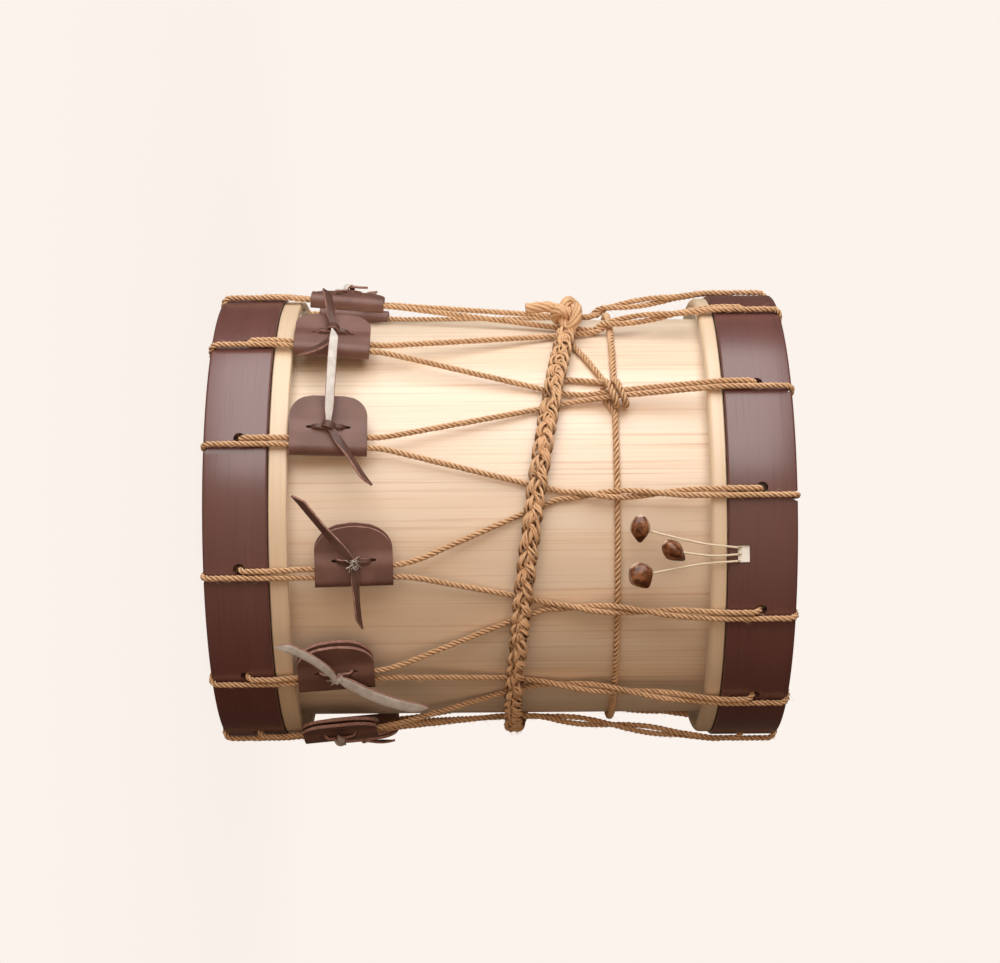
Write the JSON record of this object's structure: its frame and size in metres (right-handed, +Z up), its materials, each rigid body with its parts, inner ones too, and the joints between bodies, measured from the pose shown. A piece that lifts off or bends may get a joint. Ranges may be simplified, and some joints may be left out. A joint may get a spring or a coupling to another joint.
{
  "type": "tabor drum",
  "caption": "Small rope-tensioned drum: wooden shell, rawhide heads under laced wooden hoops, sliding leather tension ears, a braided belt and hanging seed rattles.",
  "frame": {"origin": "on the drum's axis, on the surface that its lower rope loops stand on", "axes": "+Z up the drum's axis, towards the hoop with the rattle window; -Y is the front, where the window is"},
  "size_m": [0.2753, 0.2885, 0.3231],
  "materials": {
    "shell_pine": "bare planed pine",
    "ring_wood": "bare planed wood",
    "stained_wood": "red-brown stain, satin",
    "rawhide": "off-white scraped hide",
    "jute": "twisted, fuzzy",
    "ear_leather": "smooth brown, satin",
    "thong_leather": "brown grain side, grey flesh side",
    "twine": "twisted",
    "seed_nut": "glossy shell"
  },
  "bodies": {
    "drum": {"shell": "shell_pine", "lower_head_skin": "rawhide", "upper_head_skin": "rawhide", "lower_flesh_hoop": "ring_wood", "upper_flesh_hoop": "ring_wood", "lower_counterhoop": "stained_wood", "upper_counterhoop": "stained_wood", "girdle_cord": "jute", "braided_belt": "jute", "belt_knot": "jute", "belt_tie": "jute", "string_hitch": "twine", "lacing_run_01": "jute", "lacing_run_02": "jute", "lacing_run_03": "jute", "lacing_run_04": "jute", "lacing_run_05": "jute", "lacing_run_06": "jute", "lacing_run_07": "jute", "lacing_run_08": "jute", "lacing_run_09": "jute", "lacing_run_10": "jute", "lacing_run_11": "jute", "lacing_run_12": "jute"},
    "ear_01": {"tension_ear_01": "ear_leather", "ear_lace_01": "thong_leather"},
    "ear_02": {"tension_ear_02": "ear_leather", "ear_lace_02": "thong_leather"},
    "ear_03": {"tension_ear_03": "ear_leather", "ear_lace_03": "thong_leather"},
    "ear_04": {"tension_ear_04": "ear_leather", "ear_lace_04": "thong_leather"},
    "ear_05": {"tension_ear_05": "ear_leather", "ear_lace_05": "thong_leather"},
    "ear_06": {"tension_ear_06": "ear_leather", "ear_lace_06": "thong_leather"},
    "ear_07": {"tension_ear_07": "ear_leather", "ear_lace_07": "thong_leather"},
    "ear_08": {"tension_ear_08": "ear_leather", "ear_lace_08": "thong_leather"},
    "ear_09": {"tension_ear_09": "ear_leather", "ear_lace_09": "thong_leather"},
    "ear_10": {"tension_ear_10": "ear_leather", "ear_lace_10": "thong_leather"},
    "ear_11": {"tension_ear_11": "ear_leather", "ear_lace_11": "thong_leather"},
    "ear_12": {"tension_ear_12": "ear_leather", "ear_lace_12": "thong_leather"},
    "rattle_1": {"rattle_string_1": "twine", "rattle_nut_1": "seed_nut"},
    "rattle_2": {"rattle_string_2": "twine", "rattle_nut_2": "seed_nut"},
    "rattle_3": {"rattle_string_3": "twine", "rattle_nut_3": "seed_nut"}
  },
  "joints": [
    {"name": "ear_01_slide", "type": "slide", "parent": "drum", "child": "ear_01", "axis": [-0.0208, 0.0886, 0.9958], "range_m": [-0.0142, 0.008]},
    {"name": "ear_02_slide", "type": "slide", "parent": "drum", "child": "ear_02", "axis": [-0.062, 0.0667, 0.9958], "range_m": [-0.0022, 0.008]},
    {"name": "ear_03_slide", "type": "slide", "parent": "drum", "child": "ear_03", "axis": [-0.0867, 0.0277, 0.9958], "range_m": [-0.0003, 0.008]},
    {"name": "ear_04_slide", "type": "slide", "parent": "drum", "child": "ear_04", "axis": [-0.0888, -0.02, 0.9958], "range_m": [-0.0095, 0.008]},
    {"name": "ear_05_slide", "type": "slide", "parent": "drum", "child": "ear_05", "axis": [-0.0678, -0.0607, 0.9958], "range_m": [-0.0035, 0.008]},
    {"name": "ear_06_slide", "type": "slide", "parent": "drum", "child": "ear_06", "axis": [-0.0272, -0.0869, 0.9958], "range_m": [-0.0115, 0.008]},
    {"name": "ear_07_slide", "type": "slide", "parent": "drum", "child": "ear_07", "axis": [0.0188, -0.0891, 0.9958], "range_m": [-0.0065, 0.008]},
    {"name": "ear_08_slide", "type": "slide", "parent": "drum", "child": "ear_08", "axis": [0.0618, -0.0668, 0.9958], "range_m": [-0.0085, 0.008]},
    {"name": "ear_09_slide", "type": "slide", "parent": "drum", "child": "ear_09", "axis": [0.0866, -0.0281, 0.9958], "range_m": [-0.0045, 0.008]},
    {"name": "ear_10_slide", "type": "slide", "parent": "drum", "child": "ear_10", "axis": [0.0884, 0.0217, 0.9958], "range_m": [-0.0052, 0.008]},
    {"name": "ear_11_slide", "type": "slide", "parent": "drum", "child": "ear_11", "axis": [0.0671, 0.0615, 0.9958], "range_m": [-0.0003, 0.008]},
    {"name": "ear_12_slide", "type": "slide", "parent": "drum", "child": "ear_12", "axis": [0.0287, 0.0864, 0.9958], "range_m": [-0.0006, 0.008]},
    {"name": "rattle_1_swing", "type": "hinge", "parent": "drum", "child": "rattle_1", "pos_m": [0.01777, -0.12999, 0.28868], "axis": [-0.9866, -0.1633, 0], "range_deg": [0, 150]},
    {"name": "rattle_2_swing", "type": "hinge", "parent": "drum", "child": "rattle_2", "pos_m": [0.02143, -0.12944, 0.28868], "axis": [-0.9866, -0.1633, 0], "range_deg": [0, 150]},
    {"name": "rattle_3_swing", "type": "hinge", "parent": "drum", "child": "rattle_3", "pos_m": [0.02507, -0.12878, 0.28868], "axis": [-0.9866, -0.1633, 0], "range_deg": [0, 150]}
  ]
}
